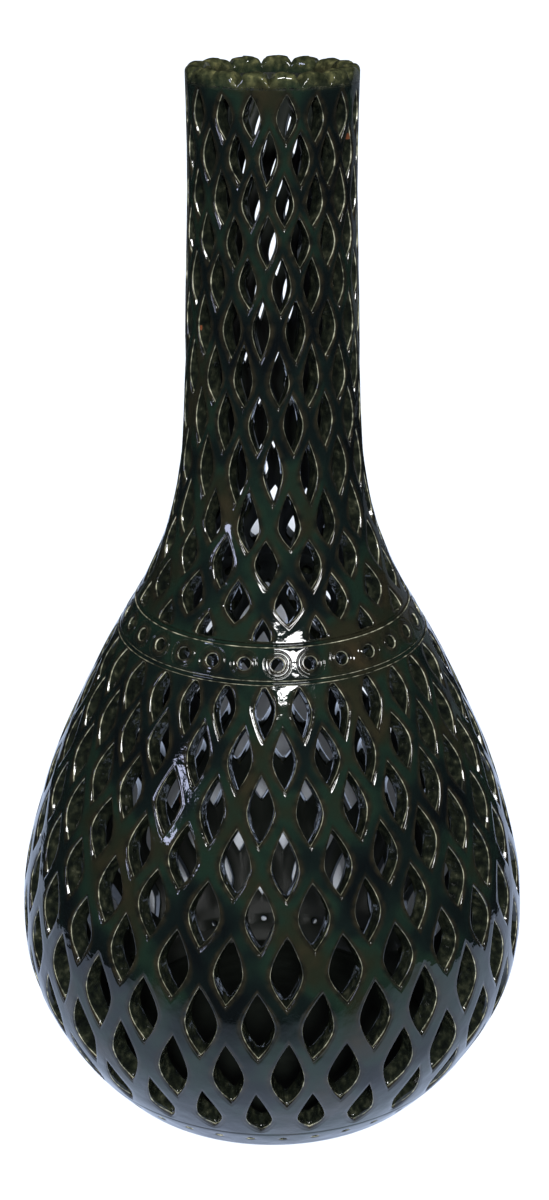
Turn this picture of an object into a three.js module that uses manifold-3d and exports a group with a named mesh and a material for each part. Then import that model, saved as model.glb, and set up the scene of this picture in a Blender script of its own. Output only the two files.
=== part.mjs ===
// A tall openwork bottle vase in glazed red earthenware. The potter joins separate clay sections with slip
// while they are leather-hard: a floor slab, a base band, a belly in two halves, a shoulder band, a flared
// shoulder, a neck tube and a scalloped rim. Leaf-shaped openings are then cut through the wall in
// staggered rows. Units are millimetres, +Z is up, and the origin is the centre of the underside. Angles
// run round the axis from -Y towards +X, and distances along the wall are measured outside, from the foot.
import * as THREE from "three";
import { mergeVertices } from "three/addons/utils/BufferGeometryUtils.js";
import Module from "manifold-3d";

// ---- Driving dimensions ----

// Outside of the wall from the foot to the rim, as [radius, height].
const PROFILE = [
  [82, 0],
  [93.2, 13.7],
  [104.3, 32],
  [113.2, 54.8],
  [115.6, 77.7],
  [113.9, 100.5],
  [107.3, 128],
  [98.4, 155.4],
  [86.3, 182.8],
  [72.8, 210.2],
  [57.1, 237.6],
  [42.9, 274.2],
  [37.2, 319.9],
  [35.8, 365.6],
  [34.4, 411.3],
  [34.7, 457],
];
const BELLY_WALL = 8.5;
const NECK_WALL = 7.5;
const SEAM_GAP = 0.4;

// Seams that follow a tooled line, by their distance along the wall.
const BASE_LINE = 20.6;
const LOWER_BAND_LINE = 237.5;
const UPPER_BAND_LINE = 254.5;
const RIM_LINE = 475;
// Seams that cross the openwork, by height.
const BELLY_SEAM_HEIGHT = 89;
const NECK_SEAM_HEIGHT = 323;

// Rows of openings, by the distance of each row's centre along the wall.
const BELLY_ROWS = [38, 68.5, 95, 119, 142, 163.5, 185.5, 207, 227];
const BELLY_COLUMNS = 29;
const BELLY_PHASE = 9.4;
const NECK_ROWS = [257, 269.5, 286.5, 302, 324.5, 344.5, 362.5, 383, 401, 417.5, 433, 450, 465];
const NECK_COLUMNS = 16;
const NECK_PHASE = 8.5;
// The neck's columns were laid out by eye. At the rim they crowd together on the viewer's side, and going
// down they lean: by the bottom row they have turned by LEAN, give or take a swing. All in degrees.
const RIM_CROWDING = 3.3;
const LEAN = -12;
const LEAN_SWING = 3.5;
const LEAN_NODE = 30;
const LEAN_POWER = 1.5;
// Going up, the back of the neck twists the other way, and by the rim it has turned by this.
const BACK_TWIST = -12;

// A leaf's width and height are shares of the room between its neighbours, and it is widest a little
// below its centre. It narrows towards the inside of the wall.
const LEAF_WIDTH_SHARE = 0.58;
const LEAF_HEIGHT_SHARE = 0.63;
const LEAF_WIDEST = -0.1;
const LEAF_INSIDE_SHARE = 0.92;
const LEAF_EDGE_MARGIN = 2;

const BAND_HOLE_DIAMETER = 5.3;
const BAND_HOLE_PHASE = 1.9;
const BASE_HOLES = 40;
const BASE_HOLE_DIAMETER = 3.4;
const BASE_HOLE_PHASE = 3;
const BASE_HOLES_ALONG = 13.5;

const FLOOR_THICKNESS = 8;
const SCALLOP_DEPTH = 4;
const SCALLOP_PHASE = 19;

// ---- The wall ----

const rad = THREE.MathUtils.degToRad;
const profile = new THREE.SplineCurve(PROFILE.map(([radius, height]) => new THREE.Vector2(radius, height)));
profile.arcLengthDivisions = 2000;
const WALL_LENGTH = profile.getLength();
const WIDEST_RADIUS = Math.max(...PROFILE.map(([radius]) => radius));
// Corners closer together than this are one corner.
const WELD = 1e-3;

// The wall thins from the belly to the neck across the shoulder band.
function thickness(along) {
  const share = THREE.MathUtils.smoothstep(along, LOWER_BAND_LINE, UPPER_BAND_LINE);
  return THREE.MathUtils.lerp(BELLY_WALL, NECK_WALL, share);
}

// The radius and height at a distance along the wall, sunk into it by a depth square to its outside.
function sectionPoint(along, depth = 0) {
  const share = THREE.MathUtils.clamp(along / WALL_LENGTH, 0, 1);
  const { x, y } = profile.getPointAt(share);
  const tangent = profile.getTangentAt(share);
  return new THREE.Vector2(x - tangent.y * depth, y + tangent.x * depth);
}

function wallPoint([angle, along], depth = 0) {
  const { x, y } = sectionPoint(along, depth);
  return new THREE.Vector3(x * Math.sin(angle), -x * Math.cos(angle), y);
}

// ---- Openwork ----

// A leaf's outline from its bottom tip, counter-clockwise, as [turn, across, up]: turn is the share of the
// way round, and across and up are shares of the leaf's half width and half height.
const LEAF = [
  [0, 0, -1],
  [0.25, 1, LEAF_WIDEST],
  [0.5, 0, 1],
  [0.75, -1, LEAF_WIDEST],
];

// Fills the face between an outline and a hole with triangles, always taking the shorter way round next.
function fillRing(outline, hole, addTriangle) {
  let o = 0;
  let h = 0;
  while (o < outline.length || h < hole.length) {
    const nextOutline = o < outline.length ? (outline[o + 1]?.turn ?? 1) : Infinity;
    const nextHole = h < hole.length ? (hole[h + 1]?.turn ?? 1) : Infinity;
    const here = outline[o % outline.length];
    const there = hole[h % hole.length];
    if (nextOutline <= nextHole) {
      addTriangle(here, outline[(o + 1) % outline.length], there);
      o += 1;
    } else {
      addTriangle(here, hole[(h + 1) % hole.length], there);
      h += 1;
    }
  }
}

// An end row's cells are squared off, with corners this share of a turn to each side of their middle.
const SQUARE_CORNER = 0.125;

// One cell of openwork: its face outside, its face inside and the walls of its opening. Every corner is
// { turn, at: [angle, along] }, counter-clockwise seen from outside.
function addCell(positions, outline, leaf, insideLeaf) {
  const add = (...corners) => corners.forEach((corner) => positions.push(...corner.toArray()));
  const outer = ({ at }) => wallPoint(at);
  const inner = ({ at }) => wallPoint(at, thickness(at[1]));
  fillRing(outline, leaf, (a, b, c) => add(outer(a), outer(b), outer(c)));
  fillRing(outline, insideLeaf, (a, b, c) => add(inner(a), inner(c), inner(b)));
  leaf.forEach((corner, i) => {
    const next = (i + 1) % leaf.length;
    add(outer(corner), outer(leaf[next]), inner(insideLeaf[next]));
    add(outer(corner), inner(insideLeaf[next]), inner(insideLeaf[i]));
  });
}

// The end face of the wall along a run of corners, facing away from the openwork.
function addEnd(positions, corners) {
  corners.slice(1).forEach(({ at }, i) => {
    const before = corners[i].at;
    const [a, b] = [wallPoint(at), wallPoint(before)];
    const [c, d] = [wallPoint(before, thickness(before[1])), wallPoint(at, thickness(at[1]))];
    for (const corner of [a, b, c, a, c, d]) positions.push(...corner.toArray());
  });
}

// A ring of openwork between two distances along the wall. Each leaf sits in a cell whose corners are
// half a column aside and one row up and down, and the end rows' cells are squared off at the wall's ends.
function openwork({ rows, columns, phase, lean, low, high }) {
  const positions = [];
  const halfColumn = Math.PI / columns;
  const corner = (turn, step, along) => {
    const upright = rad(phase) + step * halfColumn;
    return { turn, at: [upright + lean(upright, along), along] };
  };
  rows.forEach((centre, row) => {
    const first = row === 0;
    const last = row === rows.length - 1;
    const up = last ? centre - rows[row - 1] : rows[row + 1] - centre;
    const down = first ? up : centre - rows[row - 1];
    for (let column = 0; column < columns; column++) {
      const step = 2 * column + (row % 2);
      const bottom = first
        ? [-1, 0, 1].map((side) => corner(side * SQUARE_CORNER, step + side, low))
        : [corner(0, step, rows[row - 1])];
      const top = last
        ? [1, 0, -1].map((side) => corner(0.5 - side * SQUARE_CORNER, step + side, high))
        : [corner(0.5, step, rows[row + 1])];
      const sides = [corner(0.25, step + 1, centre), corner(0.75, step - 1, centre)];
      const outline = [...bottom.slice(-2), sides[0], ...top, sides[1]];
      if (first) outline.push({ turn: 1 - SQUARE_CORNER, at: bottom[0].at });
      const middle = corner(0, step, centre).at[0];
      const leaf = (size) =>
        LEAF.map(([turn, across, t]) => {
          const along = centre + t * size * LEAF_HEIGHT_SHARE * (t < 0 ? down : up);
          const clear = THREE.MathUtils.clamp(along, low + LEAF_EDGE_MARGIN, high - LEAF_EDGE_MARGIN);
          return { turn, at: [middle + across * size * LEAF_WIDTH_SHARE * halfColumn, clear] };
        });
      addCell(positions, outline, leaf(1), leaf(LEAF_INSIDE_SHARE));
      if (first) addEnd(positions, bottom);
      if (last) addEnd(positions, top);
    }
  });
  const geometry = new THREE.BufferGeometry();
  geometry.setAttribute("position", new THREE.Float32BufferAttribute(positions, 3));
  return mergeVertices(geometry, WELD);
}

function uprightColumns() {
  return 0;
}

function leaningColumns(upright, along) {
  const top = NECK_ROWS[NECK_ROWS.length - 1];
  const share = THREE.MathUtils.clamp((top - along) / (top - NECK_ROWS[1]), 0, 1) ** LEAN_POWER;
  const atRim = -RIM_CROWDING * Math.sin(upright - rad(NECK_PHASE));
  const atFoot = LEAN + LEAN_SWING * Math.sin(upright - rad(LEAN_NODE));
  const back = BACK_TWIST * ((1 - Math.cos(upright)) / 2) ** 2;
  return rad(THREE.MathUtils.lerp(atRim + back, atFoot, share));
}

// ---- Cutting ----

const wasm = await Module();
wasm.setup();

function solidOf(geometry) {
  const bare = new THREE.BufferGeometry();
  bare.setAttribute("position", geometry.getAttribute("position"));
  bare.setIndex(geometry.index);
  const merged = mergeVertices(bare, WELD);
  return new wasm.Manifold(
    new wasm.Mesh({
      numProp: 3,
      vertProperties: new Float32Array(merged.getAttribute("position").array),
      triVerts: new Uint32Array(merged.index.array),
    }),
  );
}

function geometryOf(solid) {
  const mesh = solid.getMesh();
  const geometry = new THREE.BufferGeometry();
  geometry.setAttribute("position", new THREE.BufferAttribute(mesh.vertProperties, 3));
  geometry.setIndex(new THREE.BufferAttribute(mesh.triVerts, 1));
  return geometry;
}

// The part of a wall between two heights.
function between(geometry, low, high) {
  const across = 3 * WIDEST_RADIUS;
  const slab = new THREE.BoxGeometry(across, across, high - low);
  slab.translate(0, 0, (low + high) / 2);
  return geometryOf(solidOf(geometry).intersect(solidOf(slab)));
}

function without(geometry, cutters) {
  let solid = solidOf(geometry);
  for (const cutter of cutters) solid = solid.subtract(solidOf(cutter));
  return geometryOf(solid);
}

// Copies of a cutter that points out along +Z, set round the axis at one place along the wall and turned
// to stand square to it, with the cutter's +Y up the wall.
function cuttersRound(cutter, count, phase, along) {
  const { x: tangentRadius, y: tangentHeight } = profile.getTangentAt(along / WALL_LENGTH);
  return Array.from({ length: count }, (_, i) => {
    const angle = rad(phase) + (i * 2 * Math.PI) / count;
    const aside = new THREE.Vector3(Math.cos(angle), Math.sin(angle), 0);
    const outwards = new THREE.Vector3(Math.sin(angle), -Math.cos(angle), 0);
    const upWall = outwards.clone().multiplyScalar(tangentRadius);
    upWall.z = tangentHeight;
    const square = new THREE.Vector3().crossVectors(aside, upWall);
    const place = new THREE.Matrix4().makeBasis(aside, upWall, square);
    return cutter.clone().applyMatrix4(place.setPosition(wallPoint([angle, along])));
  });
}

// Long enough to pass right through the wall, however it slopes.
const CUTTER_LENGTH = 4 * BELLY_WALL;

function drill(diameter, sides) {
  const cylinder = new THREE.CylinderGeometry(diameter / 2, diameter / 2, CUTTER_LENGTH, sides);
  return cylinder.rotateX(Math.PI / 2);
}

// A wedge with its sharp edge inwards, whose arms rise at 45 degrees to the wall.
function notchKnife(depth) {
  const side = 4 * depth;
  const box = new THREE.BoxGeometry(side, side, CUTTER_LENGTH);
  box.rotateZ(Math.PI / 4);
  return box.translate(0, side / Math.SQRT2 - depth, 0);
}

// ---- The pieces ----

// A section of [radius, height] points turned round the vertical axis, with the middle of one of its flats
// at the phase angle, where a hole or a notch is cut.
function turned(section, segments, phase) {
  const ring = new THREE.LatheGeometry([...section, section[0]], segments);
  return ring.rotateX(Math.PI / 2).rotateZ(rad(phase) - Math.PI / segments);
}

// A plain ring of the wall between two distances along it.
function wallRing(low, high, segments, phase) {
  const outside = [low, high].map((along) => sectionPoint(along));
  const inside = [high, low].map((along) => sectionPoint(along, thickness(along)));
  return turned([...outside, ...inside], segments, phase);
}

const halfGap = SEAM_GAP / 2;

// The base band stands flat on the table, so its inner wall drops straight down from its upper edge.
function baseBand() {
  const high = BASE_LINE - halfGap;
  const outside = [0, high / 2, high].map((along) => sectionPoint(along));
  const innerTop = sectionPoint(high, BELLY_WALL);
  const innerRadius = sectionPoint(0).x - BELLY_WALL;
  const inside = [innerTop, ...[FLOOR_THICKNESS, 0].map((height) => new THREE.Vector2(innerRadius, height))];
  const ring = turned([...outside, ...inside], 2 * BASE_HOLES, BASE_HOLE_PHASE);
  const drills = cuttersRound(drill(BASE_HOLE_DIAMETER, 6), BASE_HOLES, BASE_HOLE_PHASE, BASE_HOLES_ALONG);
  return without(ring, drills);
}

function floorSlab() {
  const radius = sectionPoint(0).x - BELLY_WALL - SEAM_GAP;
  const slab = new THREE.CylinderGeometry(radius, radius, FLOOR_THICKNESS, BASE_HOLES);
  return slab.rotateX(Math.PI / 2).translate(0, 0, FLOOR_THICKNESS / 2);
}

function shoulderBand() {
  const low = LOWER_BAND_LINE + halfGap;
  const high = UPPER_BAND_LINE - halfGap;
  const ring = wallRing(low, high, 2 * BELLY_COLUMNS, BAND_HOLE_PHASE);
  const middle = (low + high) / 2;
  const drills = cuttersRound(drill(BAND_HOLE_DIAMETER, 8), BELLY_COLUMNS, BAND_HOLE_PHASE, middle);
  return without(ring, drills);
}

function scallopedRim() {
  const ring = wallRing(RIM_LINE + halfGap, WALL_LENGTH, 3 * NECK_COLUMNS, SCALLOP_PHASE);
  const knives = cuttersRound(notchKnife(SCALLOP_DEPTH), NECK_COLUMNS, SCALLOP_PHASE, WALL_LENGTH);
  return without(ring, knives);
}

const belly = openwork({
  rows: BELLY_ROWS,
  columns: BELLY_COLUMNS,
  phase: BELLY_PHASE,
  lean: uprightColumns,
  low: BASE_LINE + halfGap,
  high: LOWER_BAND_LINE - halfGap,
});
const neck = openwork({
  rows: NECK_ROWS,
  columns: NECK_COLUMNS,
  phase: NECK_PHASE,
  lean: leaningColumns,
  low: UPPER_BAND_LINE + halfGap,
  high: RIM_LINE - halfGap,
});

const glaze = { color: "#14231b", roughness: 0.08, metalness: 0 };
const bareClay = { color: "#8f5a3a", roughness: 0.85, metalness: 0 };

const pieces = [
  ["floor_slab", floorSlab(), bareClay],
  ["base_band", baseBand(), glaze],
  ["lower_belly", between(belly, 0, BELLY_SEAM_HEIGHT - halfGap), glaze],
  ["upper_belly", between(belly, BELLY_SEAM_HEIGHT + halfGap, PROFILE.at(-1)[1]), glaze],
  ["shoulder_band", shoulderBand(), glaze],
  ["flared_shoulder", between(neck, 0, NECK_SEAM_HEIGHT - halfGap), glaze],
  ["neck_tube", between(neck, NECK_SEAM_HEIGHT + halfGap, PROFILE.at(-1)[1]), glaze],
  ["scalloped_rim", scallopedRim(), glaze],
];

const vase = new THREE.Group();
for (const [name, geometry, finish] of pieces) {
  const mesh = new THREE.Mesh(geometry, new THREE.MeshStandardMaterial(finish));
  mesh.name = name;
  vase.add(mesh);
}

export default vase;
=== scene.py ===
"""The looks of a tall openwork bottle vase in dark green glazed earthenware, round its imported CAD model.

The sections follow the vase as a potter puts it together: base band, floor slab, belly, shoulder band, neck
and rim. A point of the wall is given by its angle round the axis (0 towards the viewer, growing to the
right), its distance along the outside of the wall from the foot, and how deep it is sunk in the wall.
"""
import math

import bmesh
import bpy
import numpy as np
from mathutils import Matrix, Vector


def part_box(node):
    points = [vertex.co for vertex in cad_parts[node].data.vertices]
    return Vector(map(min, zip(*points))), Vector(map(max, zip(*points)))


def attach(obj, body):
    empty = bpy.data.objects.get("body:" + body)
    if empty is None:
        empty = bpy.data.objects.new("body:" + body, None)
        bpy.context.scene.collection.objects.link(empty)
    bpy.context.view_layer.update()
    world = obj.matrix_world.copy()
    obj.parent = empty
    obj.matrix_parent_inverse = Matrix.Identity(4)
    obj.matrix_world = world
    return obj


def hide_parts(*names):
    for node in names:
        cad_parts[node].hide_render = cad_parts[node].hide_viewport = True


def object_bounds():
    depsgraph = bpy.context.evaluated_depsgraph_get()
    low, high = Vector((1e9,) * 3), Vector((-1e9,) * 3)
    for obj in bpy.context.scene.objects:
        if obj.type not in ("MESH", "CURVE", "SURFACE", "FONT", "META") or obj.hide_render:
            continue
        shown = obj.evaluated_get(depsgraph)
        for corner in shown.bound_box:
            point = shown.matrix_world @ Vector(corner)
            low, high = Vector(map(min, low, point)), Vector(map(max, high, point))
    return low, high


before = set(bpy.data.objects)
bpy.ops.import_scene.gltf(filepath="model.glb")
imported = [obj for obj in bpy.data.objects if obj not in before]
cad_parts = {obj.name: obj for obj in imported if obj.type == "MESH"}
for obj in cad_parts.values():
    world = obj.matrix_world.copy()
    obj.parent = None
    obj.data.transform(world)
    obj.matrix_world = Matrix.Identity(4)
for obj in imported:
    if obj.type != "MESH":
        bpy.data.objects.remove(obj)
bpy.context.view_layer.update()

# ---------------------------------------------------------------------------------------------------------
# Viewer, table and light. The viewer stands close, a little above the rim, and looks down at the vase on a
# pale table in a dim room. The studio light is soft; small lamps and a window only show in the glaze.
# ---------------------------------------------------------------------------------------------------------
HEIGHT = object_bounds()[1].z
EYE_DISTANCE = 1.657 * HEIGHT
EYE_HEIGHT = 1.171 * HEIGHT
LOOK_DOWN = math.radians(22.02)

camera_data = bpy.data.cameras.new("camera")
camera_data.sensor_width = 36
camera_data.lens = 55.7
camera_data.shift_x = 0.0018
camera = bpy.data.objects.new("camera", camera_data)
camera.location = (0, -EYE_DISTANCE, EYE_HEIGHT)
camera.rotation_euler = (math.pi / 2 - LOOK_DOWN, 0, 0)
bpy.context.scene.collection.objects.link(camera)
bpy.context.scene.camera = camera
bpy.context.scene.view_settings.view_transform = "Standard"


def linear(hex_colour):
    """An sRGB hex colour as linear RGBA."""
    channels = [int(hex_colour[i : i + 2], 16) / 255 for i in (1, 3, 5)]
    curve = [c / 12.92 if c <= 0.04045 else ((c + 0.055) / 1.055) ** 2.4 for c in channels]
    return (*curve, 1)


def node(tree, kind, inputs=(), **settings):
    """Adds a shader node, sets its properties, then its sockets, each from a value or a socket to link."""
    made = tree.nodes.new(kind)
    for name, value in settings.items():
        setattr(made, name, value)
    for name, value in dict(inputs).items():
        if isinstance(value, bpy.types.NodeSocket):
            tree.links.new(value, made.inputs[name])
        else:
            made.inputs[name].default_value = value
    return made


def ramp(tree, factor, stops):
    """A colour ramp on a factor, with stops of (position, hex colour)."""
    made = node(tree, "ShaderNodeValToRGB", {"Fac": factor})
    elements = made.color_ramp.elements
    while len(elements) < len(stops):
        elements.new(0.5)
    for element, (position, colour) in zip(elements, stops):
        element.position = position
        element.color = linear(colour)
    return made.outputs["Color"]


def new_material(name):
    material = bpy.data.materials.new(name)
    material.use_nodes = True
    material.node_tree.nodes.clear()
    return material, material.node_tree


def flat_sheet(name, low, high, height, material):
    """A flat rectangle from a low to a high (x, y) corner, at a height over the floor the vase stands on."""
    (x0, y0), (x1, y1) = low, high
    mesh = bpy.data.meshes.new(name)
    corners = [(x0, y0, height), (x1, y0, height), (x1, y1, height), (x0, y1, height)]
    mesh.from_pydata(corners, [], [(0, 1, 2, 3)])
    mesh.materials.append(material)
    sheet = bpy.data.objects.new(name, mesh)
    bpy.context.scene.collection.objects.link(sheet)
    return sheet


paper, tree = new_material("pale matt table paper")
grain = node(tree, "ShaderNodeTexNoise", {"Scale": 900.0, "Detail": 2.0})
tone = ramp(tree, grain.outputs["Fac"], [(0.3, "#dbe2ee"), (0.7, "#e2e8f2")])
surface = node(tree, "ShaderNodeBsdfDiffuse", {"Color": tone})
node(tree, "ShaderNodeOutputMaterial", {"Surface": surface.outputs[0]})

FLOOR_REACH = 60
floor = flat_sheet("floor", (-FLOOR_REACH, -FLOOR_REACH), (FLOOR_REACH, FLOOR_REACH), 0.0, paper)
floor.visible_glossy = False

# The glaze mirrors this cool table top instead of the floor. It lies just over the floor and shows in
# reflections only; its colour is painted darker towards its front edge, a painted shade.
TABLE_SIDE = 0.34
TABLE_FRONT = -0.30
TABLE_BACK = 0.9
TABLE_PAINTED_SHADE_ENDS = -0.17
TABLE_OVER_FLOOR = 0.0003
paper_with_painted_shade, tree = new_material("cool table paper with painted shade")
along = node(tree, "ShaderNodeSeparateXYZ", {"Vector": node(tree, "ShaderNodeTexCoord").outputs["Object"]})
# Painted shade: the paper's colour runs from dark at the front edge to pale further back.
painted_shade = node(
    tree,
    "ShaderNodeMapRange",
    {"Value": along.outputs["Y"], "From Min": TABLE_FRONT, "From Max": TABLE_PAINTED_SHADE_ENDS},
)
tone = ramp(tree, painted_shade.outputs[0], [(0.0, "#20242c"), (0.35, "#76828f"), (1.0, "#b4c2dc")])
surface = node(tree, "ShaderNodeBsdfDiffuse", {"Color": tone})
node(tree, "ShaderNodeOutputMaterial", {"Surface": surface.outputs[0]})

table = flat_sheet(
    "table_in_the_glaze", (-TABLE_SIDE, TABLE_FRONT), (TABLE_SIDE, TABLE_BACK), TABLE_OVER_FLOOR, paper_with_painted_shade
)
table.visible_camera = table.visible_diffuse = table.visible_shadow = False

world = bpy.data.worlds.new("dim room")
bpy.context.scene.world = world
world.use_nodes = True
tree = world.node_tree
tree.nodes.clear()
rays = node(tree, "ShaderNodeLightPath")
soft_light = node(tree, "ShaderNodeBackground", {"Color": (1, 1, 1, 1), "Strength": 0.07})
dim_room = node(tree, "ShaderNodeBackground", {"Color": linear("#3a4048"), "Strength": 0.2})
seen = node(
    tree,
    "ShaderNodeMixShader",
    {0: rays.outputs["Is Glossy Ray"], 1: soft_light.outputs[0], 2: dim_room.outputs[0]},
)
node(tree, "ShaderNodeOutputWorld", {"Surface": seen.outputs[0]})


def place_light(name, kind, azimuth, elevation, distance, aim):
    """A light of a kind, out from the vase's axis at a share of its height; azimuth grows to the right."""
    data = bpy.data.lights.new(name, kind)
    light = bpy.data.objects.new(name, data)
    turn, lift = math.radians(azimuth), math.radians(elevation)
    away = Vector((math.sin(turn) * math.cos(lift), -math.cos(turn) * math.cos(lift), math.sin(lift)))
    light.location = Vector((0, 0, aim * HEIGHT)) + distance * away
    light.rotation_euler = away.to_track_quat("Z", "Y").to_euler()
    bpy.context.scene.collection.objects.link(light)
    return light


def lamp(name, azimuth, elevation, distance, size, power, colour="#ffffff", aim=0.5):
    """A rectangular lamp that only the glaze's mirror shine picks up."""
    light = place_light(name, "AREA", azimuth, elevation, distance, aim)
    light.data.shape = "RECTANGLE"
    light.data.size, light.data.size_y = size
    light.data.energy = power
    light.data.color = linear(colour)[:3]
    light.visible_camera = False
    light.visible_diffuse = False


# The main light comes over the viewer's shoulder, so the vase's soft shadow lies behind it.
daylight = place_light("daylight", "SUN", 1, 32, 3.0, 0.5)
daylight.data.energy = 8.4
daylight.data.angle = math.radians(6)
daylight.visible_glossy = False
lamp("ceiling_lamp", 14, 37, 1.7, (0.75, 0.22), 22)
lamp("window", -50, 11, 1.6, (0.22, 0.30), 3.6, "#ccd2f2")
lamp("pale_wall_right", 148, 6, 1.8, (1.3, 1.1), 1.1, "#c2cede")
lamp("pale_wall_left", -160, 6, 1.8, (0.7, 1.1), 0.35, "#c8ccd0")

# ---------------------------------------------------------------------------------------------------------
# Wall. All the sections share one wall line, thrown against a template, and one thickness that thins from
# the belly to the neck. The glaze is a glossy bottle green that runs thin and olive on every cut edge.
# ---------------------------------------------------------------------------------------------------------
# The outside of the wall as shares of the vase's height, from the foot to the rim: (radius, height).
WALL_LINE = HEIGHT * np.array(
    [
        (0.1794, 0), (0.2038, 0.03), (0.2282, 0.07), (0.2478, 0.12), (0.2530, 0.17), (0.2493, 0.22),
        (0.2349, 0.28), (0.2154, 0.34), (0.1889, 0.40), (0.1592, 0.46), (0.1250, 0.52), (0.0939, 0.60),
        (0.0814, 0.70), (0.0784, 0.80), (0.0753, 0.90), (0.0759, 1.0),
    ]
)


def smooth_curve(points, samples):
    """A natural cubic spline through the points, with the distance between points as its parameter: the
    second derivatives solve the usual tridiagonal system, and every coordinate is one cubic per stretch."""
    knots = np.concatenate([[0], np.cumsum(np.linalg.norm(np.diff(points, axis=0), axis=1))])
    gap = np.diff(knots)
    slope = np.diff(points, axis=0) / gap[:, None]
    system = np.diag(np.concatenate([[1], 2 * (gap[1:] + gap[:-1]), [1]]))
    inner = np.arange(1, len(points) - 1)
    system[inner, inner - 1] = gap[:-1]
    system[inner, inner + 1] = gap[1:]
    bend = np.zeros_like(points)
    bend[1:-1] = 6 * np.diff(slope, axis=0)
    bend = np.linalg.solve(system, bend)
    at = np.linspace(0, knots[-1], samples)
    i = np.clip(np.searchsorted(knots, at) - 1, 0, len(gap) - 1)
    u, h = (at - knots[i])[:, None], gap[i][:, None]
    cubic = points[i] + u * (slope[i] - h * (2 * bend[i] + bend[i + 1]) / 6)
    return cubic + u**2 * bend[i] / 2 + u**3 * (bend[i + 1] - bend[i]) / (6 * h)


line = smooth_curve(WALL_LINE, 8000)
line_along = np.concatenate([[0], np.cumsum(np.linalg.norm(np.diff(line, axis=0), axis=1))])
line_tangent = np.gradient(line, line_along, axis=0)
WALL_LENGTH = line_along[-1]


def wall_radius(along):
    return np.interp(along, line_along, line[:, 0])


def on_wall(angle, along, depth):
    """Points at an angle and a distance along the wall, sunk by a depth square to its outside."""
    radius = np.interp(along, line_along, line[:, 0])
    height = np.interp(along, line_along, line[:, 1])
    tangent_r = np.interp(along, line_along, line_tangent[:, 0])
    tangent_z = np.interp(along, line_along, line_tangent[:, 1])
    r = radius - tangent_z * depth
    z = height + tangent_r * depth
    return np.stack([r * np.sin(angle), -r * np.cos(angle), z], axis=-1)


# Seams, where one section is luted to the next, read from the frame.
def seam_height(lower, upper):
    return (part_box(lower)[1].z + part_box(upper)[0].z) / 2


BELLY_SEAM = seam_height("lower_belly", "upper_belly")
NECK_SEAM = seam_height("flared_shoulder", "neck_tube")
BASE_LINE = 0.0451 * HEIGHT
LOWER_BAND_LINE = 0.5197 * HEIGHT
UPPER_BAND_LINE = 0.5569 * HEIGHT
RIM_LINE = 1.0394 * HEIGHT
BELLY_WALL = 0.0085
NECK_WALL = 0.0075


def wall_thickness(along):
    share = np.clip((along - LOWER_BAND_LINE) / (UPPER_BAND_LINE - LOWER_BAND_LINE), 0, 1)
    return BELLY_WALL + (NECK_WALL - BELLY_WALL) * share * share * (3 - 2 * share)


def mixed(tree, share, first, second):
    """A colour that goes from the first to the second as share goes from 0 to 1."""
    return node(tree, "ShaderNodeMixRGB", {"Fac": share, "Color1": first, "Color2": second}).outputs[0]


def between(tree, value, low, high):
    """0 where a value is at or below low, 1 where it is at or above high, and straight between them."""
    inputs = {"Value": value, "From Min": low, "From Max": high}
    return node(tree, "ShaderNodeMapRange", inputs, clamp=True).outputs[0]


def noise(tree, place, scale, detail):
    inputs = {"Vector": place, "Scale": scale, "Detail": detail}
    return node(tree, "ShaderNodeTexNoise", inputs).outputs["Fac"]


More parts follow.
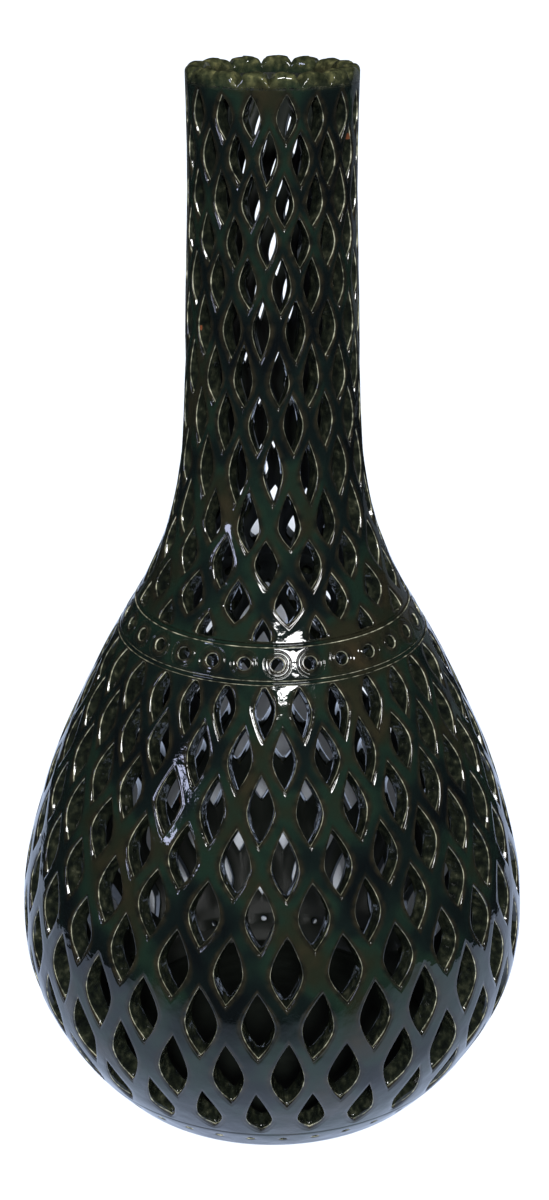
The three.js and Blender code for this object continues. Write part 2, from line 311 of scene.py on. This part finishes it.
def glaze_material():
    """Lead glaze over red clay: a smooth glassy coat, nearly black where it is thick, clouded with green and
    olive brown, pale khaki where it has run off the cut edges, olive on the rim it has drained from, and
    missing in spots inside the cuts, with slow waves from the tools and fine orange peel. The cut walls are
    also painted darker, a painted shade for the shade inside the openings."""
    material, tree = new_material("bottle green lead glaze")
    place = node(tree, "ShaderNodeTexCoord").outputs["Object"]
    height = node(tree, "ShaderNodeSeparateXYZ", {"Vector": place}).outputs["Z"]
    # Millimetres from the cut edge: outside is positive, and negative is down the cut's own wall.
    edge = node(tree, "ShaderNodeAttribute", attribute_name="from_edge").outputs["Fac"]
    cloud = noise(tree, place, 24.0, 3.0)
    fleck = noise(tree, place, 300.0, 4.0)
    thick = ramp(
        tree,
        cloud,
        [(0.36, "#050708"), (0.46, "#080e0d"), (0.54, "#0e1913"), (0.62, "#13150e"), (0.72, "#1f1b12")],
    )
    drained = ramp(tree, fleck, [(0.35, "#171a0f"), (0.55, "#333522"), (0.75, "#62603f")])
    thick = mixed(tree, between(tree, height, 0.984 * HEIGHT, 1.001 * HEIGHT), thick, drained)
    brown = ramp(tree, fleck, [(0.35, "#0a0b09"), (0.7, "#1d1a12")])
    thick = mixed(tree, between(tree, edge, 0.5, 3.2), brown, thick)
    thin = ramp(tree, fleck, [(0.38, "#2a2b24"), (0.52, "#626355"), (0.72, "#a19f8c")])
    outside = mixed(tree, between(tree, edge, 0.1, 0.4), thin, thick)
    # The cut walls' colour is partly the glaze's own dark green and partly painted shade: it is darkened to
    # stand in for the shade inside the openings.
    cut_wall_and_painted_shade = ramp(tree, fleck, [(0.35, "#070908"), (0.52, "#0f120d"), (0.66, "#1e2018"), (0.78, "#38392d")])
    bare = noise(tree, place, 55.0, 2.0)
    missed = node(tree, "ShaderNodeMath", {0: bare, 1: 0.77}, operation="GREATER_THAN")
    cut_wall_and_painted_shade = mixed(tree, missed.outputs[0], cut_wall_and_painted_shade, linear("#4c2c1c"))
    colour = mixed(tree, between(tree, edge, -0.45, -0.12), cut_wall_and_painted_shade, outside)
    colour = mixed(tree, between(tree, edge, -11.0, -8.0), linear("#0e110e"), colour)
    waves = node(
        tree, "ShaderNodeBump", {"Height": noise(tree, place, 45.0, 1.0), "Strength": 1.0, "Distance": 0.0009}
    )
    lumps = node(
        tree,
        "ShaderNodeBump",
        {
            "Height": noise(tree, place, 130.0, 1.0),
            "Strength": 1.0,
            "Distance": 0.00022,
            "Normal": waves.outputs[0],
        },
    )
    skin = node(
        tree,
        "ShaderNodeBump",
        {
            "Height": noise(tree, place, 420.0, 2.0),
            "Strength": 1.0,
            "Distance": 0.00006,
            "Normal": lumps.outputs[0],
        },
    )
    # The thinner coat inside the vase is only half fluxed, so its shine is broad and dim.
    shine = node(
        tree,
        "ShaderNodeMapRange",
        {"Value": edge, "From Min": -11.0, "From Max": -8.0, "To Min": 0.5, "To Max": 0.06},
    )
    coat = node(
        tree,
        "ShaderNodeBsdfPrincipled",
        {"Base Color": colour, "Roughness": shine.outputs[0], "IOR": 1.52, "Normal": skin.outputs[0]},
    )
    node(tree, "ShaderNodeOutputMaterial", {"Surface": coat.outputs[0]})
    return material


glaze = glaze_material()


def ring_grid(points, edge, closed=False, smooth=True):
    """A part from a grid of points (rows, columns, 3), closed round its columns, and round its rows too when
    it is a whole section. Rows that climb the outside face outwards."""
    rows, columns = points.shape[:2]
    index = np.arange(rows * columns).reshape(rows, columns)
    below = index if closed else index[:-1]
    above = np.roll(index, -1, 0) if closed else index[1:]
    quads = np.stack([below, np.roll(below, -1, 1), np.roll(above, -1, 1), above], -1).reshape(-1, 4)
    edges = np.broadcast_to(np.reshape(edge, (rows, -1)), (rows, columns)).reshape(-1)
    return points.reshape(-1, 3), quads, edges, smooth


def cut_flat(work, height, up):
    """Takes away what is above a height, or below it, and caps the cuts with flat faces."""
    everything = work.verts[:] + work.edges[:] + work.faces[:]
    bmesh.ops.bisect_plane(
        work, geom=everything, dist=1e-6, plane_co=(0, 0, height), plane_no=(0, 0, 1),
        clear_outer=up, clear_inner=not up,
    )
    rim = [e for e in work.edges if e.is_boundary and all(abs(v.co.z - height) < 1e-5 for v in e.verts)]
    for cap in bmesh.ops.edgeloop_fill(work, edges=rim)["faces"]:
        cap.normal_update()
        if (cap.normal.z > 0) != up:
            cap.normal_flip()


def sharpen_flats(mesh):
    """Marks every edge of a flat face as sharp, so that the smooth wall beside it isn't shaded towards it."""
    sizes = np.zeros(len(mesh.polygons), np.int32)
    mesh.polygons.foreach_get("loop_total", sizes)
    smooth = np.zeros(len(sizes), bool)
    mesh.polygons.foreach_get("use_smooth", smooth)
    edge_of = np.zeros(len(mesh.loops), np.int32)
    mesh.loops.foreach_get("edge_index", edge_of)
    sharp = np.zeros(len(mesh.edges), bool)
    sharp[edge_of[~np.repeat(smooth, sizes)]] = True
    mesh.edges.foreach_set("use_edge_sharp", sharp)


def keep_normals(mesh, seams):
    """Gives the smooth faces' corners at the seams the normals that the wall had before it was cut there."""
    points = np.zeros(len(mesh.vertices) * 3, np.float32)
    mesh.vertices.foreach_get("co", points)
    whole = np.zeros(len(points), np.float32)
    mesh.attributes["whole_normal"].data.foreach_get("vector", whole)
    at_seam = np.any([abs(points[2::3] - height) < 1e-5 for height in seams], 0)
    corner = np.zeros(len(mesh.loops), np.int32)
    mesh.loops.foreach_get("vertex_index", corner)
    sizes = np.zeros(len(mesh.polygons), np.int32)
    mesh.polygons.foreach_get("loop_total", sizes)
    smooth = np.zeros(len(sizes), bool)
    mesh.polygons.foreach_get("use_smooth", smooth)
    kept = whole.reshape(-1, 3)[corner]
    kept[~(np.repeat(smooth, sizes) & at_seam[corner])] = 0
    mesh.normals_split_custom_set(kept)
    mesh.attributes.remove(mesh.attributes["whole_normal"])


def make_piece(name, cad_node, parts, material, below=None, above=None):
    """One closed piece from its parts. Shared corners are merged, and it is cut flat at its seams, where
    it keeps the normals of the whole wall so that the glaze runs over the seam without a break."""
    mesh = bpy.data.meshes.new(name)
    starts = np.cumsum([0] + [len(part[0]) for part in parts])
    quads = np.concatenate([part[1] + start for part, start in zip(parts, starts)])
    mesh.from_pydata(np.concatenate([part[0] for part in parts]), [], quads.tolist())
    smooth = np.concatenate([np.full(len(part[1]), part[3]) for part in parts])
    mesh.polygons.foreach_set("use_smooth", smooth)
    edges = np.concatenate([part[2] for part in parts]).astype(np.float32)
    mesh.attributes.new("from_edge", "FLOAT", "POINT").data.foreach_set("value", edges)
    work = bmesh.new()
    work.from_mesh(mesh)
    bmesh.ops.remove_doubles(work, verts=work.verts, dist=2e-6)
    work.to_mesh(mesh)
    seams = [height for height in (below, above) if height is not None]
    if seams:
        whole = np.zeros(len(mesh.vertices) * 3, np.float32)
        mesh.vertices.foreach_get("normal", whole)
        mesh.attributes.new("whole_normal", "FLOAT_VECTOR", "POINT").data.foreach_set("vector", whole)
        work.clear()
        work.from_mesh(mesh)
        for height in seams:
            cut_flat(work, height, height == below)
        work.to_mesh(mesh)
    work.free()
    sharpen_flats(mesh)
    if seams:
        keep_normals(mesh, seams)
    mesh.materials.append(material)
    piece = bpy.data.objects.new(name, mesh)
    bpy.context.scene.collection.objects.link(piece)
    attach(piece, "root")
    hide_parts(cad_node)
    return piece


def cell_border(corners, rays):
    """Points (cells, rays, 2) along the outlines of cells, from eight corners each (cells, 8, 2)."""
    share = np.arange(rays // 8)[None, None, :, None] / (rays // 8)
    border = corners[:, :, None] * (1 - share) + np.roll(corners, -1, 1)[:, :, None] * share
    return border.reshape(len(corners), rays, 2)


def pierced(border, hole, outside, wall, inside_lip=0.0006):
    """Cells of wall, each with a hole through it. border and hole are (cells, rays, 2) as angle and distance
    along the wall. The face outside steps in from the border through (distance from the hole, largest share
    of the way, depth and, where the glaze is thin for another reason, its own distance from an edge), then
    down the hole's wall through (depth, inset), and back out on the inner face."""
    reach = wall_radius(hole[..., 1])
    across = (border[..., 0] - hole[..., 0]) * reach
    up = border[..., 1] - hole[..., 1]
    room = np.maximum(np.hypot(across, up), 1e-9)
    centre = hole.mean(1, keepdims=True)
    thick = wall_thickness(hole[..., 1])
    rings, depths, edges = [border], [np.zeros_like(room)], [np.minimum(room * 1000, 9)]
    for distance, share, depth, *thin in outside:
        step = np.minimum(distance, share * room) / room
        rings.append(hole + (border - hole) * step[..., None])
        depths.append(np.zeros_like(room) + depth)
        edges.append(np.full_like(room, thin[0]) if thin else step * room * 1000)
    for depth, inset in wall:
        rings.append(hole + (centre - hole) * inset)
        depths.append(np.maximum(depth * thick, depths[-1] + 0.0002))
        edges.append(-depth * thick * 1000)
    last_inset = wall[-1][1]
    step = np.minimum(inside_lip, 0.3 * room) / room
    last = hole + (centre - hole) * last_inset
    rings += [last + (border - last) * step[..., None], border]
    depths += [thick, wall_thickness(border[..., 1])]
    edges += [np.full_like(room, -12.0), np.full_like(room, -20.0)]
    rings, depths, edges = (np.stack(each, 1) for each in (rings, depths, edges))
    points = on_wall(rings[..., 0], rings[..., 1], depths)
    cells, steps, rays = edges.shape
    index = np.arange(cells * steps * rays).reshape(cells, steps, rays)
    near, far = index[:, :-1], index[:, 1:]
    quads = np.stack([near, np.roll(near, -1, 2), np.roll(far, -1, 2), far], -1).reshape(-1, 4)
    return (points.reshape(-1, 3), quads, edges.reshape(-1), True), index


def end_faces(part, index, cells, first_ray, last_ray):
    """Flat faces that close the wall along a stretch of the cells' border, between outside and inside."""
    rays = index.shape[2]
    here = np.arange(first_ray, last_ray) % rays
    after = (here + 1) % rays
    outer, inner = index[cells][:, 0], index[cells][:, -1]
    quads = np.stack([outer[:, after], outer[:, here], inner[:, here], inner[:, after]], -1)
    return part[0], quads.reshape(-1, 4), part[2], False


LEAF_RAYS = 40
EDGE_MARGIN = 0.0007
# Outside a leaf-shaped opening: a faint line from the guide tool, a sunk border inside it and a soft edge.
# Below the leaf's bottom tip, where the knife was drawn out, all of this is deeper.
TIP_SCOOP = 2.6
LEAF_OUTSIDE = [
    (1.0, 0.72, 0.0),
    (0.0035, 0.55, 0.00000),
    (0.0020, 0.40, 0.00000),
    (0.0017, 0.34, 0.00007, 0.55),
    (0.0014, 0.28, 0.00004),
    (0.0009, 0.18, 0.00010),
    (0.0005, 0.11, 0.00021),
    (0.0002, 0.05, 0.00042),
]
LEAF_WALL = [(0.10, 0.0), (0.4, 0.015), (0.75, 0.035), (0.93, 0.05)]


def leaf_outline(rays, power, widest):
    """A leaf seen flat, counter-clockwise from its bottom tip, as across and up shares from -1 to 1. Its half
    width is 1 - |t|^power with t counted from its widest place to each tip."""
    quarter = rays // 4
    rise = np.linspace(0, 1, quarter, endpoint=False)
    right = np.concatenate([-1 + rise * (1 + widest), widest + rise * (1 - widest)])
    up = np.concatenate([right, [1], right[:0:-1]])
    reach = np.where(up > widest, 1 - widest, 1 + widest)
    width = 1 - np.abs((up - widest) / reach) ** power
    side = np.concatenate([np.ones(2 * quarter), -np.ones(2 * quarter)])
    return width * side, up


def openwork(
    rows, columns, phase, lean, low, high, width, height, power, widest, seed, end_reach, first_slim
):
    """A ring of staggered leaf-shaped openings. Each leaf is cut freehand in a cell whose corners are half
    a column aside and a row up and down; cells of the end rows are squared off at the wall's ends. There the
    leaves reach out only by end_reach, and the first row's are narrower by first_slim."""
    chance = np.random.default_rng(seed)
    row = np.repeat(np.arange(len(rows)), columns)
    step = 2 * np.tile(np.arange(columns), len(rows)) + row % 2
    ends = np.concatenate([[low], rows, [high]])
    below, centre, above = ends[row], ends[row + 1], ends[row + 2]
    first, last = row == 0, row == len(rows) - 1
    floor_across = np.where(first, 1, 0.5)
    top_across = np.where(last, 1, 0.5)
    floor_along = np.where(first, low, (below + centre) / 2)
    top_along = np.where(last, high, (above + centre) / 2)
    none, side = 0 * step, 1 + 0 * step
    across = [none, floor_across, side, top_across, none, -top_across, -side, -floor_across]
    across = np.stack(across, 1)
    along = np.stack([below, floor_along, centre, top_along, above, top_along, centre, floor_along], 1)
    half_column = math.pi / columns
    corners = np.stack([step[:, None] + across, along], -1)
    border = cell_border(corners, LEAF_RAYS)

    def turn(place):
        upright = math.radians(phase) + place[..., 0] * half_column
        return np.stack([upright + lean(upright, place[..., 1]), place[..., 1]], -1)

    up_reach = np.where(last, end_reach[1], height * (above - centre))
    down_reach = np.where(first, end_reach[0], height * (centre - below))
    bulge, t = leaf_outline(LEAF_RAYS, power, widest)
    count = len(row)
    size = 1 + 0.035 * chance.standard_normal((count, 1))
    slim = 1 + 0.045 * chance.standard_normal((count, 1))
    shift = 0.00035 * chance.standard_normal((2, count, 1))
    tilt = math.radians(2.0) * chance.standard_normal((count, 1))
    sway = 0.06 * chance.standard_normal((count, 1))
    half_width = width * half_column * wall_radius(centre)[:, None] * slim
    half_width = half_width * np.where(first, first_slim, 1)[:, None]
    x = half_width * (bulge + sway * (1 - t**2))
    y = t * size * np.where(t < 0, down_reach[:, None], up_reach[:, None])
    x, y = x - y * tilt + shift[0], y + x * tilt + shift[1]
    spot = np.clip(centre[:, None] + y, low + EDGE_MARGIN, high - EDGE_MARGIN)
    middle = turn(np.stack([step, centre], -1))[:, None, 0]
    hole = np.stack([middle + x / wall_radius(spot), spot], -1)
    from_tip = np.abs(np.mod(np.arange(LEAF_RAYS) + LEAF_RAYS / 2, LEAF_RAYS) - LEAF_RAYS / 2)
    scoop = 1 + TIP_SCOOP * np.exp(-((from_tip / 4.0) ** 2))
    outside = [(away, share, sink * scoop, *thin) for away, share, sink, *thin in LEAF_OUTSIDE]
    part, index = pierced(turn(border), hole, outside, LEAF_WALL)
    eighth = LEAF_RAYS // 8
    return [
        part,
        end_faces(part, index, first, -eighth, eighth),
        end_faces(part, index, last, 3 * eighth, 5 * eighth),
    ]


# ---------------------------------------------------------------------------------------------------------
# Base band: a low ring luted to the edge of the floor slab, with a row of small drilled holes under an
# incised line. The vase's foot is wiped clean of glaze so that it doesn't stick to the kiln shelf, but here
# the foot is given the same glaze as the band.
# ---------------------------------------------------------------------------------------------------------
BASE_HOLES = 40
BASE_RAYS = 32
BASE_HOLES_ALONG = 0.0285 * HEIGHT
BASE_HOLE_RADIUS = 0.0016
BASE_CELL = 0.0034


def round_holes(count, phase, middle, half, radius, rays, outside, wall):
    """A row of square cells round the wall, each with a round hole drilled through it: their part, and the
    angles of the columns that their borders fall on."""
    half_pitch = math.pi / count
    step = 2 * np.arange(count)[:, None] + np.array([0, 1, 1, 1, 0, -1, -1, -1])
    along = middle + half * np.array([-1, -1, 0, 1, 1, 1, 0, -1]) + 0 * step
    border = cell_border(np.stack([math.radians(phase) + step * half_pitch, along], -1), rays)
    turn = 2 * math.pi * np.arange(rays) / rays
    circle = np.stack([np.sin(turn) / wall_radius(middle), -np.cos(turn)], -1) * radius
    centre = np.stack([math.radians(phase) + 2 * np.arange(count) * half_pitch, middle + np.zeros(count)], -1)
    part, _ = pierced(border, centre[:, None] + circle, outside, wall)
    columns = count * rays // 4
    return part, math.radians(phase) + 2 * math.pi * np.arange(columns) / columns


def wall_rows(angles, rows):
    """A grid on the wall from rows of (distance along, depth, glaze edge in mm)."""
    along, depth, edge = (np.array(each)[:, None] for each in zip(*rows))
    return on_wall(angles[None], along + 0 * angles, depth + 0 * angles), edge


def joint_face(angles, along, first_depth, last_depth):
    """The flat face where a ring of the wall meets the next piece, from one depth to another."""
    points, edge = wall_rows(angles, [(along, first_depth, 9), (along, last_depth, -20)])
    return ring_grid(points, edge, smooth=False)


def turned_rows(angles, rows):
    """A grid round the axis from rows of (radius, height, glaze edge in mm)."""
    radius, height, edge = (np.array(each)[:, None] for each in zip(*rows))
    spread = np.stack([np.sin(angles), -np.cos(angles)], -1)[None]
    return np.concatenate([radius[..., None] * spread, height[..., None] + 0 * spread[..., :1]], -1), edge


DRILLED_WALL = [(0.1, 0.0), (0.5, 0.0), (0.93, 0.02)]
base_cells, base_angles = round_holes(
    BASE_HOLES, 3, BASE_HOLES_ALONG, BASE_CELL, BASE_HOLE_RADIUS, BASE_RAYS,
    [(0.0012, 0.8, 0.0), (0.0006, 0.5, 0.00004), (0.0003, 0.3, 0.00012), (0.0001, 0.1, 0.0003)],
    DRILLED_WALL,
)
base_low, base_high = BASE_HOLES_ALONG - BASE_CELL, BASE_HOLES_ALONG + BASE_CELL
FOOT_RADIUS = float(wall_radius(0))
SLAB_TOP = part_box("floor_slab")[1].z
slab_hole = FOOT_RADIUS - BELLY_WALL
inner_low, _ = wall_rows(base_angles, [(base_low, BELLY_WALL, -20)])
foot_rows, foot_edges = turned_rows(
    base_angles,
    [
        (slab_hole, SLAB_TOP + 0.0006, -20), (slab_hole, SLAB_TOP, -20), (slab_hole, 0, -20),
        (FOOT_RADIUS - 0.0030, 0, 9), (FOOT_RADIUS - 0.0012, 0.00003, 9), (FOOT_RADIUS - 0.0002, 0.0004, 9),
    ],
)
rise_rows, rise_edges = wall_rows(
    base_angles, [(0.0013, 0, 9), (0.0030, 0, 9), (0.0060, 0, 9), (base_low, 0, 9)]
)
line_rows, line_edges = wall_rows(
    base_angles,
    [
        (base_high, 0, 9), (base_high + 0.0016, 0, 9), (BASE_LINE - 0.0009, 0.00003, 9),
        (BASE_LINE - 0.0007, 0.00014, 0.35), (BASE_LINE - 0.0005, 0.0005, 2), (BASE_LINE - 0.0002, 0.0006, 9),
        (BASE_LINE, 0.0006, 9),
    ],
)
back_rows, back_edges = wall_rows(base_angles, [(BASE_LINE, BELLY_WALL, -20), (base_high, BELLY_WALL, -20)])
base_edges = np.concatenate([[[-20]], foot_edges, rise_edges])
base_rows = np.concatenate([inner_low, foot_rows, rise_rows])
make_piece(
    "base_band_clay", "base_band",
    [
        base_cells, ring_grid(base_rows, base_edges), ring_grid(line_rows, line_edges),
        joint_face(base_angles, BASE_LINE, 0.0006, BELLY_WALL), ring_grid(back_rows, back_edges),
    ],
    glaze,
)

# ---------------------------------------------------------------------------------------------------------
# Floor slab: a rolled disc of the same clay. Its top is glazed with the inside of the vase; its underside is
# bare, wiped with a sponge in slow rings, and shows the red clay.
# ---------------------------------------------------------------------------------------------------------
def clay_material():
    """Low-fired red earthenware: quite matt, mottled orange-brown, with fine grit standing in the surface."""
    material, tree = new_material("bare red earthenware")
    place = node(tree, "ShaderNodeTexCoord").outputs["Object"]
    mottle = node(tree, "ShaderNodeTexNoise", {"Vector": place, "Scale": 60.0, "Detail": 4.0}).outputs["Fac"]
    grit = node(tree, "ShaderNodeTexNoise", {"Vector": place, "Scale": 900.0, "Detail": 3.0}).outputs["Fac"]
    colour = ramp(tree, mottle, [(0.3, "#7c4126"), (0.5, "#96552f"), (0.7, "#a9683f")])
    rough = node(tree, "ShaderNodeBump", {"Height": grit, "Strength": 0.8, "Distance": 0.0002})
    body = node(
        tree,
        "ShaderNodeBsdfPrincipled",
        {"Base Color": colour, "Roughness": 0.85, "IOR": 1.45, "Normal": rough.outputs[0]},
    )
    node(tree, "ShaderNodeOutputMaterial", {"Surface": body.outputs[0]})
    return material


slab_angles = 2 * math.pi * np.arange(180) / 180
slab_edge = slab_hole - 0.0001
# The underside hollows slightly towards its centre, and sponge rings ripple it.
rings = np.linspace(0, slab_edge - 0.003, 60)
hollow = 0.0006 * (1 - (rings / slab_edge) ** 2) + 0.00012 * np.sin(rings / 0.0045 * math.pi) ** 2
under = [(r, h, 9) for r, h in zip(rings, hollow)]
slab_side = [
    (slab_edge - 0.0012, 0.0, 9), (slab_edge, 0.0008, 9), (slab_edge, SLAB_TOP - 0.0006, -20),
    (slab_edge - 0.0012, SLAB_TOP, -20),
]
top = [(r, SLAB_TOP - 0.00025 * math.sin(r / 0.009 * math.pi) ** 2, -20) for r in rings[::-1]]
slab_points, slab_edges = turned_rows(slab_angles, under + slab_side + top)
slab = make_piece(
    "floor_slab_clay", "floor_slab", [ring_grid(slab_points, slab_edges)], clay_material()
)
slab.data.materials.append(glaze)
heights = np.zeros(len(slab.data.polygons) * 3)
slab.data.polygons.foreach_get("center", heights)
glazed = (heights[2::3] > SLAB_TOP / 2).astype(np.int32)
slab.data.polygons.foreach_set("material_index", glazed)

# ---------------------------------------------------------------------------------------------------------
# Belly: two thrown bowls luted mouth to mouth, then pierced with staggered leaves while leather-hard.
# ---------------------------------------------------------------------------------------------------------
BELLY_COLUMNS = 29
BELLY_ROWS = HEIGHT * np.array([0.0830, 0.1500, 0.2080, 0.2605, 0.3110, 0.3580, 0.4060, 0.4525, 0.4970])
BELLY_TOP = LOWER_BAND_LINE - 0.0008

belly = openwork(
    BELLY_ROWS, BELLY_COLUMNS, 9.4, lambda upright, along: 0 * upright, BASE_LINE, BELLY_TOP,
    width=0.54, height=0.63, power=1.6, widest=-0.08, seed=4, end_reach=(0.0135, 0.0098), first_slim=0.92,
)
make_piece("lower_belly_clay", "lower_belly", belly, glaze, below=BELLY_SEAM)
make_piece("upper_belly_clay", "upper_belly", belly, glaze, above=BELLY_SEAM)

# ---------------------------------------------------------------------------------------------------------
# Shoulder band: a plain ring between two tooled grooves. A tube was pressed in to stamp concentric rings,
# not always as deep, and a hole drilled through the middle of each stamp.
# ---------------------------------------------------------------------------------------------------------
BAND_RAYS = 48
BAND_MIDDLE = (BELLY_TOP + UPPER_BAND_LINE) / 2
BAND_CELL = 0.0064
BAND_HOLE_RADIUS = 0.00265
chance = np.random.default_rng(12)
mid_ring = np.clip(chance.normal(0.5, 0.5, (BELLY_COLUMNS, 1)), 0, 1)
outer_ring = np.clip(chance.normal(0.8, 0.25, (BELLY_COLUMNS, 1)), 0.3, 1.1)
STAMP = [
    (0.00360, 0.96, -0.00002), (0.00340, 0.92, -0.00003, 0.24), (0.00322, 0.87, 0.00008 * outer_ring),
    (0.00300, 0.81, 0.00034 * outer_ring), (0.00275, 0.74, 0.00034 * outer_ring),
    (0.00255, 0.69, 0.00008 * outer_ring, 0.3), (0.00238, 0.64, -0.00002), (0.00190, 0.52, 0.0),
    (0.00168, 0.46, 0.00005 * mid_ring), (0.00150, 0.41, 0.00022 * mid_ring),
    (0.00128, 0.35, 0.00022 * mid_ring), (0.00110, 0.30, 0.00003 * mid_ring, 0.32),
    (0.00085, 0.24, -0.00008), (0.00050, 0.15, -0.00012), (0.00025, 0.09, -0.00004), (0.00008, 0.03, 0.0002),
]
band_cells, band_angles = round_holes(
    BELLY_COLUMNS, 1.9, BAND_MIDDLE, BAND_CELL, BAND_HOLE_RADIUS, BAND_RAYS, STAMP, DRILLED_WALL
)
band_low, band_high = BAND_MIDDLE - BAND_CELL, BAND_MIDDLE + BAND_CELL
low_rows, low_edges = wall_rows(
    band_angles,
    [
        (BELLY_TOP, 0.0, 1), (BELLY_TOP + 0.0002, 0.00001, 0.2), (BELLY_TOP + 0.0004, 0.00018, 0.15),
        (BELLY_TOP + 0.0006, 0.0006, 1), (BELLY_TOP + 0.0009, 0.0009, 4), (BELLY_TOP + 0.0014, 0.0009, 4),
        (BELLY_TOP + 0.0018, 0.0006, 1), (BELLY_TOP + 0.0020, 0.0002, 0.15),
        (BELLY_TOP + 0.0022, 0.00003, 0.2),
        (BELLY_TOP + 0.0025, 0, 2), (band_low, 0, 9),
    ],
)
high_rows, high_edges = wall_rows(
    band_angles,
    [
        (band_high, 0, 9), (UPPER_BAND_LINE - 0.0023, -0.00005, 2), (UPPER_BAND_LINE - 0.0021, 0.0, 0.15),
        (UPPER_BAND_LINE - 0.0018, 0.0002, 0.1), (UPPER_BAND_LINE - 0.0016, 0.0006, 1),
        (UPPER_BAND_LINE - 0.0012, 0.0011, 4), (UPPER_BAND_LINE - 0.0006, 0.0011, 4),
        (UPPER_BAND_LINE - 0.0003, 0.0007, 1), (UPPER_BAND_LINE - 0.0001, 0.0002, 0.4),
        (UPPER_BAND_LINE, 0.0001, 1),
    ],
)
low_back, low_back_edges = wall_rows(
    band_angles, [(band_low, float(wall_thickness(band_low)), -20), (BELLY_TOP, BELLY_WALL, -20)]
)
high_back, high_back_edges = wall_rows(
    band_angles, [(UPPER_BAND_LINE, NECK_WALL, -20), (band_high, float(wall_thickness(band_high)), -20)]
)
make_piece(
    "shoulder_band_clay", "shoulder_band",
    [
        band_cells, ring_grid(low_rows, low_edges), ring_grid(high_rows, high_edges),
        joint_face(band_angles, BELLY_TOP, BELLY_WALL, 0.0), ring_grid(low_back, low_back_edges),
        joint_face(band_angles, UPPER_BAND_LINE, 0.0001, NECK_WALL), ring_grid(high_back, high_back_edges),
    ],
    glaze,
)

# ---------------------------------------------------------------------------------------------------------
# Neck: a flared shoulder and a straight tube, thrown apart and luted, pierced with smaller leaves whose
# columns lean as they go down, because they were laid out by eye from the rim.
# ---------------------------------------------------------------------------------------------------------
NECK_COLUMNS = 16
NECK_PHASE = 8.5
# Going up, the back of the neck twists the other way; by the rim it has turned by this many degrees.
BACK_TWIST = -12
NECK_ROWS = HEIGHT * np.array(
    [0.5624, 0.590, 0.627, 0.661, 0.710, 0.754, 0.793, 0.838, 0.8775, 0.9135, 0.9475, 0.985, 1.018]
)


def neck_lean(upright, along):
    """How far a column has turned: at the rim it crowds to the viewer's side, at the foot it leans left."""
    share = np.clip((NECK_ROWS[-1] - along) / (NECK_ROWS[-1] - NECK_ROWS[1]), 0, 1) ** 1.5
    at_rim = -3.3 * np.sin(upright - math.radians(NECK_PHASE))
    at_foot = -12 + 3.5 * np.sin(upright - math.radians(30))
    back = BACK_TWIST * ((1 - np.cos(upright)) / 2) ** 2
    return np.radians((at_rim + back) * (1 - share) + at_foot * share)


neck = openwork(
    NECK_ROWS, NECK_COLUMNS, NECK_PHASE, neck_lean, UPPER_BAND_LINE, RIM_LINE,
    width=0.52, height=0.62, power=1.6, widest=-0.08, seed=9, end_reach=(0.0075, 0.0078), first_slim=0.62,
)
make_piece("flared_shoulder_clay", "flared_shoulder", neck, glaze, below=NECK_SEAM)
make_piece("neck_tube_clay", "neck_tube", neck, glaze, above=NECK_SEAM)

# ---------------------------------------------------------------------------------------------------------
# Rim: a thick rolled lip. A knife pressed in from outside leaves V notches, and the clay between them was
# thumbed into round scallops.
# ---------------------------------------------------------------------------------------------------------
RIM_STEPS = 48
rim_upright = math.radians(NECK_PHASE) + 2 * math.pi * np.arange(NECK_COLUMNS * RIM_STEPS) / (
    NECK_COLUMNS * RIM_STEPS
)
rim_angles = rim_upright + neck_lean(rim_upright, NECK_ROWS[-1])
# Millimetres to the nearest notch, which is midway between two columns of leaves.
from_middle = np.abs(np.mod(np.arange(len(rim_upright)) + RIM_STEPS / 2, RIM_STEPS) - RIM_STEPS / 2)
half_lobe = math.pi / NECK_COLUMNS * float(wall_radius(WALL_LENGTH))
to_notch = half_lobe * (1 - from_middle / (RIM_STEPS / 2))
chance = np.random.default_rng(3)
lobe_of = np.arange(len(rim_upright)) // RIM_STEPS
lobe_height = 0.0004 * np.abs(chance.standard_normal(NECK_COLUMNS))[lobe_of]


def scallop(notch_depth, notch_width, rounding):
    """How far the lip stands below its full height: a V at each notch between round-topped lobes."""
    v = notch_depth * np.clip(1 - to_notch / notch_width, 0, 1)
    aside = from_middle / (RIM_STEPS / 2)
    return v + rounding * (1 - np.sqrt(1 - 0.98 * aside**2)) + 0.4 * lobe_height


outer_top = WALL_LENGTH - scallop(0.0030, 0.0026, 0.0024)
inner_top = WALL_LENGTH - scallop(0.0008, 0.0012, 0.0026)


def rolled(top, roll):
    """Quarter-round rows (distance along, depth from the face) from a wall up to the top of its lip."""
    return [(top - roll * (1 - math.sin(turn)), roll * (1 - math.cos(turn))) for turn in QUARTER]


QUARTER = np.radians([0, 20, 40, 60, 80])
outer_roll = np.minimum(0.0024, 0.5 * (outer_top - RIM_LINE))
inner_roll = np.minimum(0.0024, 0.5 * (inner_top - RIM_LINE))
plain = 0 * rim_angles
rim_rows = [(RIM_LINE + share * (outer_top - outer_roll - RIM_LINE), plain) for share in (0, 0.35, 0.7)]
rim_rows += rolled(outer_top, outer_roll)
for share in (0.35, 0.65):
    rim_rows.append((outer_top + share * (inner_top - outer_top), share * NECK_WALL + plain))
rim_rows += [(along, NECK_WALL - depth) for along, depth in rolled(inner_top, inner_roll)[::-1]]
rim_rows += [
    (RIM_LINE + share * (inner_top - inner_roll - RIM_LINE), NECK_WALL + plain) for share in (0.7, 0.35, 0)
]
rim_along, rim_depth = (np.stack(each) for each in zip(*rim_rows))
# The glaze has run off the sharp bottoms of the notches.
rim_edges = np.where(to_notch < 0.0002, 0.1, 9) + 0 * rim_along
rim_points = on_wall(rim_angles[None] + 0 * rim_along, rim_along, rim_depth)
make_piece(
    "scalloped_rim_clay", "scalloped_rim",
    [ring_grid(rim_points, rim_edges), joint_face(rim_angles, RIM_LINE, NECK_WALL, 0)],
    glaze,
)
